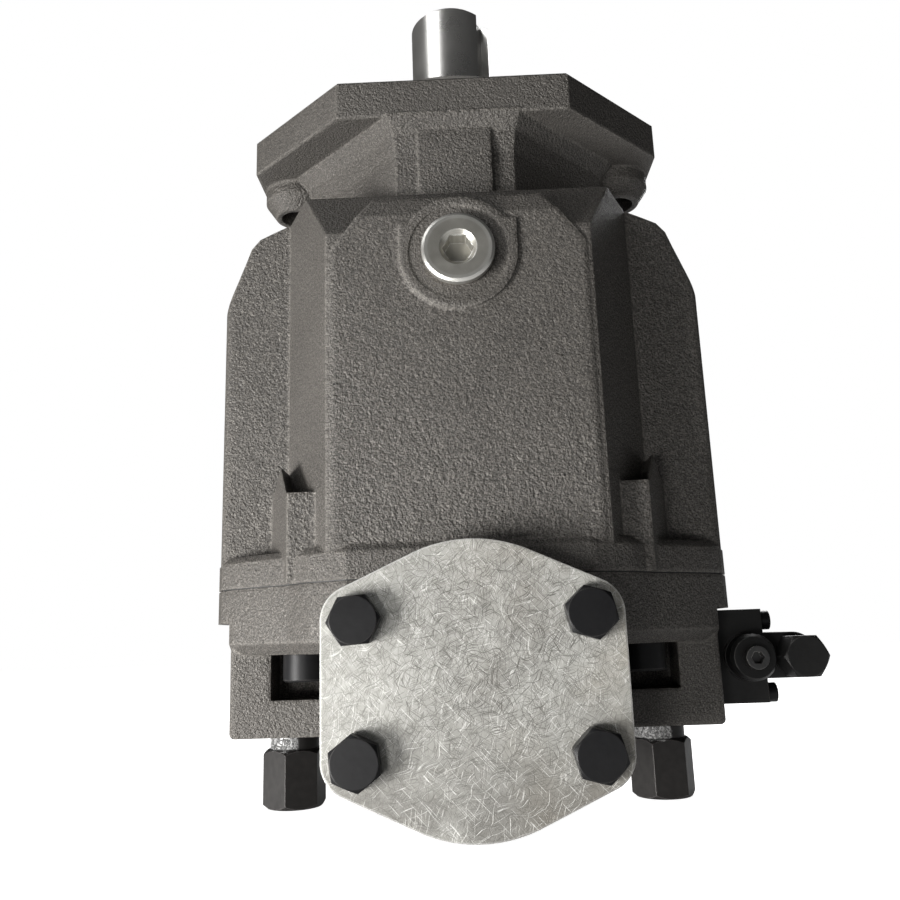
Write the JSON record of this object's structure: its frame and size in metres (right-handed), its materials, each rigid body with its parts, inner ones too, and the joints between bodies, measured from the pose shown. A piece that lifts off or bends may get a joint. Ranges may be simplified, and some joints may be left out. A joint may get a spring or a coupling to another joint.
{
  "type": "axial piston pump",
  "caption": "Variable swash-plate axial piston pump with octagonal two-bolt flange, keyed shaft, cast body, blanked suction port, capped stop screws and side control valve",
  "frame": {"origin": "the drive shaft axis where it meets the flange mounting face", "axes": "+Z along the shaft out of the mounting face, -Y toward the suction port, +X toward the control valve"},
  "size_m": [0.271, 0.2315, 0.429],
  "materials": {
    "cast_iron": "sand-cast, grey wash paint",
    "cast_iron_plate": "sand-cast, grey wash paint",
    "gasket": "thin coated gasket",
    "black_screws": "black oxide steel",
    "zinc_sheet": "zinc plated, scratched",
    "plug_steel": "turned steel",
    "seal_metal": "bonded seal",
    "shaft_steel": "ground steel",
    "seal_rubber": "moulded",
    "ring_steel": "spring steel",
    "bearing_steel": "ground",
    "roller_steel": "ground",
    "bronze": "bronze",
    "swash_iron": "machined",
    "retainer_steel": "hardened",
    "spring_steel": "oiled spring wire",
    "block_iron": "machined",
    "valve_plate_metal": "lapped",
    "piston_steel": "ground and lapped",
    "screw_dark": "dark steel",
    "cap_black": "dark satin",
    "valve_black": "black phosphate"
  },
  "bodies": {
    "case": {"housing": "cast_iron", "port_plate": "cast_iron_plate", "joint_gasket": "gasket", "port_plate_screws": "black_screws", "suction_cover_plate": "zinc_sheet", "suction_cover_bolts": "black_screws", "drain_plug": "plug_steel", "drain_plug_seal": "seal_metal", "shaft_seal": "seal_rubber", "seal_retaining_ring": "ring_steel", "front_bearing_cup": "bearing_steel", "rear_bearing_cup": "bearing_steel", "cradle_bearing_shells": "bronze", "valve_plate": "valve_plate_metal", "valve_plate_pin": "retainer_steel", "bias_spring": "spring_steel", "control_sleeves": "piston_steel", "stop_screws": "screw_dark", "stop_screw_caps": "cap_black", "control_valve_body": "valve_black", "pressure_spring": "spring_steel", "flow_spring": "spring_steel", "valve_lock_nut": "cap_black", "valve_adjuster_cap": "cap_black", "valve_mount_screws": "black_screws"},
    "rotor": {"drive_shaft": "shaft_steel", "front_bearing_cone": "bearing_steel", "rear_bearing_cone": "bearing_steel", "retaining_ball": "retainer_steel", "push_pins": "retainer_steel", "block_spring": "spring_steel", "cylinder_block": "block_iron"},
    "swash": {"swash_plate": "swash_iron"},
    "retainer": {"retainer_plate": "retainer_steel"},
    "front_rollers": {"front_bearing_rollers": "roller_steel"},
    "rear_rollers": {"rear_bearing_rollers": "roller_steel"},
    "stroking": {"stroking_piston": "piston_steel"},
    "bias": {"bias_piston": "piston_steel"},
    "pressure_spool_body": {"pressure_spool": "piston_steel"},
    "flow_spool_body": {"flow_spool": "piston_steel"},
    "pressure_adjuster": {"pressure_adjust_screw": "screw_dark"},
    "flow_adjuster": {"flow_adjust_screw": "screw_dark"},
    "ram_1": {"piston_1": "piston_steel"},
    "shoe_1": {"slipper_1": "bronze"},
    "ram_2": {"piston_2": "piston_steel"},
    "shoe_2": {"slipper_2": "bronze"},
    "ram_3": {"piston_3": "piston_steel"},
    "shoe_3": {"slipper_3": "bronze"},
    "ram_4": {"piston_4": "piston_steel"},
    "shoe_4": {"slipper_4": "bronze"},
    "ram_5": {"piston_5": "piston_steel"},
    "shoe_5": {"slipper_5": "bronze"},
    "ram_6": {"piston_6": "piston_steel"},
    "shoe_6": {"slipper_6": "bronze"},
    "ram_7": {"piston_7": "piston_steel"},
    "shoe_7": {"slipper_7": "bronze"},
    "ram_8": {"piston_8": "piston_steel"},
    "shoe_8": {"slipper_8": "bronze"},
    "ram_9": {"piston_9": "piston_steel"},
    "shoe_9": {"slipper_9": "bronze"}
  },
  "joints": [
    {"name": "shaft_spin", "type": "hinge", "parent": "case", "child": "rotor", "pos_m": [0, 0, 0], "axis": [0, 0, 1], "range_deg": [0, 360]},
    {"name": "swash_tilt", "type": "hinge", "parent": "case", "child": "swash", "pos_m": [0, 0, -0.125], "axis": [0, 1, 0], "range_deg": [0, 17.3]},
    {"name": "retainer_tilt", "type": "hinge", "parent": "rotor", "child": "retainer", "pos_m": [0, 0, -0.125], "axis": [0, 1, 0], "range_deg": [0, 17.3]},
    {"name": "front_roller_spin", "type": "hinge", "parent": "case", "child": "front_rollers", "pos_m": [0, 0, -0.036], "axis": [0, 0, 1], "range_deg": [0, 155]},
    {"name": "rear_roller_spin", "type": "hinge", "parent": "case", "child": "rear_rollers", "pos_m": [0, 0, -0.245], "axis": [0, 0, 1], "range_deg": [0, 155]},
    {"name": "stroking_slide", "type": "slide", "parent": "case", "child": "stroking", "axis": [0, 0, 1], "range_m": [-0.0282, 0]},
    {"name": "bias_slide", "type": "slide", "parent": "case", "child": "bias", "axis": [0, 0, 1], "range_m": [0, 0.0282], "deforming": ["bias_spring"]},
    {"name": "pressure_spool_slide", "type": "slide", "parent": "case", "child": "pressure_spool_body", "axis": [0, 1, 0], "range_m": [0, 0.003], "deforming": ["pressure_spring"]},
    {"name": "flow_spool_slide", "type": "slide", "parent": "case", "child": "flow_spool_body", "axis": [0, 1, 0], "range_m": [0, 0.003], "deforming": ["flow_spring"]},
    {"name": "pressure_adjust", "type": "hinge", "parent": "case", "child": "pressure_adjuster", "pos_m": [0.123, -0.05, -0.282], "axis": [0, 1, 0], "range_deg": [-180, 180]},
    {"name": "flow_adjust", "type": "hinge", "parent": "case", "child": "flow_adjuster", "pos_m": [0.144, -0.05, -0.282], "axis": [0, 1, 0], "range_deg": [-180, 180]},
    {"name": "ram_slide_1", "type": "slide", "parent": "rotor", "child": "ram_1", "axis": [0, 0, 1], "range_m": [-0.01474, 0.0001]},
    {"name": "shoe_tilt_1", "type": "hinge", "parent": "ram_1", "child": "shoe_1", "pos_m": [0.047, 0, -0.125], "axis": [0, 1, 0], "range_deg": [0, 17.3]},
    {"name": "ram_slide_2", "type": "slide", "parent": "rotor", "child": "ram_2", "axis": [0, 0, 1], "range_m": [-0.01132, 0.0001]},
    {"name": "shoe_tilt_2", "type": "hinge", "parent": "ram_2", "child": "shoe_2", "pos_m": [0.036, 0.03021, -0.125], "axis": [0, 1, 0], "range_deg": [0, 17.3]},
    {"name": "ram_slide_3", "type": "slide", "parent": "rotor", "child": "ram_3", "axis": [0, 0, 1], "range_m": [-0.00265, 0.0001]},
    {"name": "shoe_tilt_3", "type": "hinge", "parent": "ram_3", "child": "shoe_3", "pos_m": [0.00816, 0.04629, -0.125], "axis": [0, 1, 0], "range_deg": [0, 17.3]},
    {"name": "ram_slide_4", "type": "slide", "parent": "rotor", "child": "ram_4", "axis": [0, 0, 1], "range_m": [-0.0001, 0.00742]},
    {"name": "shoe_tilt_4", "type": "hinge", "parent": "ram_4", "child": "shoe_4", "pos_m": [-0.0235, 0.0407, -0.125], "axis": [0, 1, 0], "range_deg": [0, 17.3]},
    {"name": "ram_slide_5", "type": "slide", "parent": "rotor", "child": "ram_5", "axis": [0, 0, 1], "range_m": [-0.0001, 0.01386]},
    {"name": "shoe_tilt_5", "type": "hinge", "parent": "ram_5", "child": "shoe_5", "pos_m": [-0.04417, 0.01607, -0.125], "axis": [0, 1, 0], "range_deg": [0, 17.3]},
    {"name": "ram_slide_6", "type": "slide", "parent": "rotor", "child": "ram_6", "axis": [0, 0, 1], "range_m": [-0.0001, 0.01386]},
    {"name": "shoe_tilt_6", "type": "hinge", "parent": "ram_6", "child": "shoe_6", "pos_m": [-0.04417, -0.01607, -0.125], "axis": [0, 1, 0], "range_deg": [0, 17.3]},
    {"name": "ram_slide_7", "type": "slide", "parent": "rotor", "child": "ram_7", "axis": [0, 0, 1], "range_m": [-0.0001, 0.00742]},
    {"name": "shoe_tilt_7", "type": "hinge", "parent": "ram_7", "child": "shoe_7", "pos_m": [-0.0235, -0.0407, -0.125], "axis": [0, 1, 0], "range_deg": [0, 17.3]},
    {"name": "ram_slide_8", "type": "slide", "parent": "rotor", "child": "ram_8", "axis": [0, 0, 1], "range_m": [-0.00265, 0.0001]},
    {"name": "shoe_tilt_8", "type": "hinge", "parent": "ram_8", "child": "shoe_8", "pos_m": [0.00816, -0.04629, -0.125], "axis": [0, 1, 0], "range_deg": [0, 17.3]},
    {"name": "ram_slide_9", "type": "slide", "parent": "rotor", "child": "ram_9", "axis": [0, 0, 1], "range_m": [-0.01132, 0.0001]},
    {"name": "shoe_tilt_9", "type": "hinge", "parent": "ram_9", "child": "shoe_9", "pos_m": [0.036, -0.03021, -0.125], "axis": [0, 1, 0], "range_deg": [0, 17.3]}
  ],
  "couplings": [
    {"joint": "retainer_tilt", "follows": "swash_tilt", "ratio": 1},
    {"joint": "front_roller_spin", "follows": "shaft_spin", "ratio": 0.43},
    {"joint": "rear_roller_spin", "follows": "shaft_spin", "ratio": 0.43},
    {"joint": "stroking_slide", "follows": "swash_tilt", "m_per_rad": -0.092839},
    {"joint": "bias_slide", "follows": "swash_tilt", "m_per_rad": 0.092839},
    {"joint": "ram_slide_1", "follows": "swash_tilt", "m_per_rad": -0.048482},
    {"joint": "shoe_tilt_1", "follows": "swash_tilt", "ratio": 1},
    {"joint": "ram_slide_2", "follows": "swash_tilt", "m_per_rad": -0.03714},
    {"joint": "shoe_tilt_2", "follows": "swash_tilt", "ratio": 1},
    {"joint": "ram_slide_3", "follows": "swash_tilt", "m_per_rad": -0.008419},
    {"joint": "shoe_tilt_3", "follows": "swash_tilt", "ratio": 1},
    {"joint": "ram_slide_4", "follows": "swash_tilt", "m_per_rad": 0.024241},
    {"joint": "shoe_tilt_4", "follows": "swash_tilt", "ratio": 1},
    {"joint": "ram_slide_5", "follows": "swash_tilt", "m_per_rad": 0.045559},
    {"joint": "shoe_tilt_5", "follows": "swash_tilt", "ratio": 1},
    {"joint": "ram_slide_6", "follows": "swash_tilt", "m_per_rad": 0.045559},
    {"joint": "shoe_tilt_6", "follows": "swash_tilt", "ratio": 1},
    {"joint": "ram_slide_7", "follows": "swash_tilt", "m_per_rad": 0.024241},
    {"joint": "shoe_tilt_7", "follows": "swash_tilt", "ratio": 1},
    {"joint": "ram_slide_8", "follows": "swash_tilt", "m_per_rad": -0.008419},
    {"joint": "shoe_tilt_8", "follows": "swash_tilt", "ratio": 1},
    {"joint": "ram_slide_9", "follows": "swash_tilt", "m_per_rad": -0.03714},
    {"joint": "shoe_tilt_9", "follows": "swash_tilt", "ratio": 1}
  ]
}
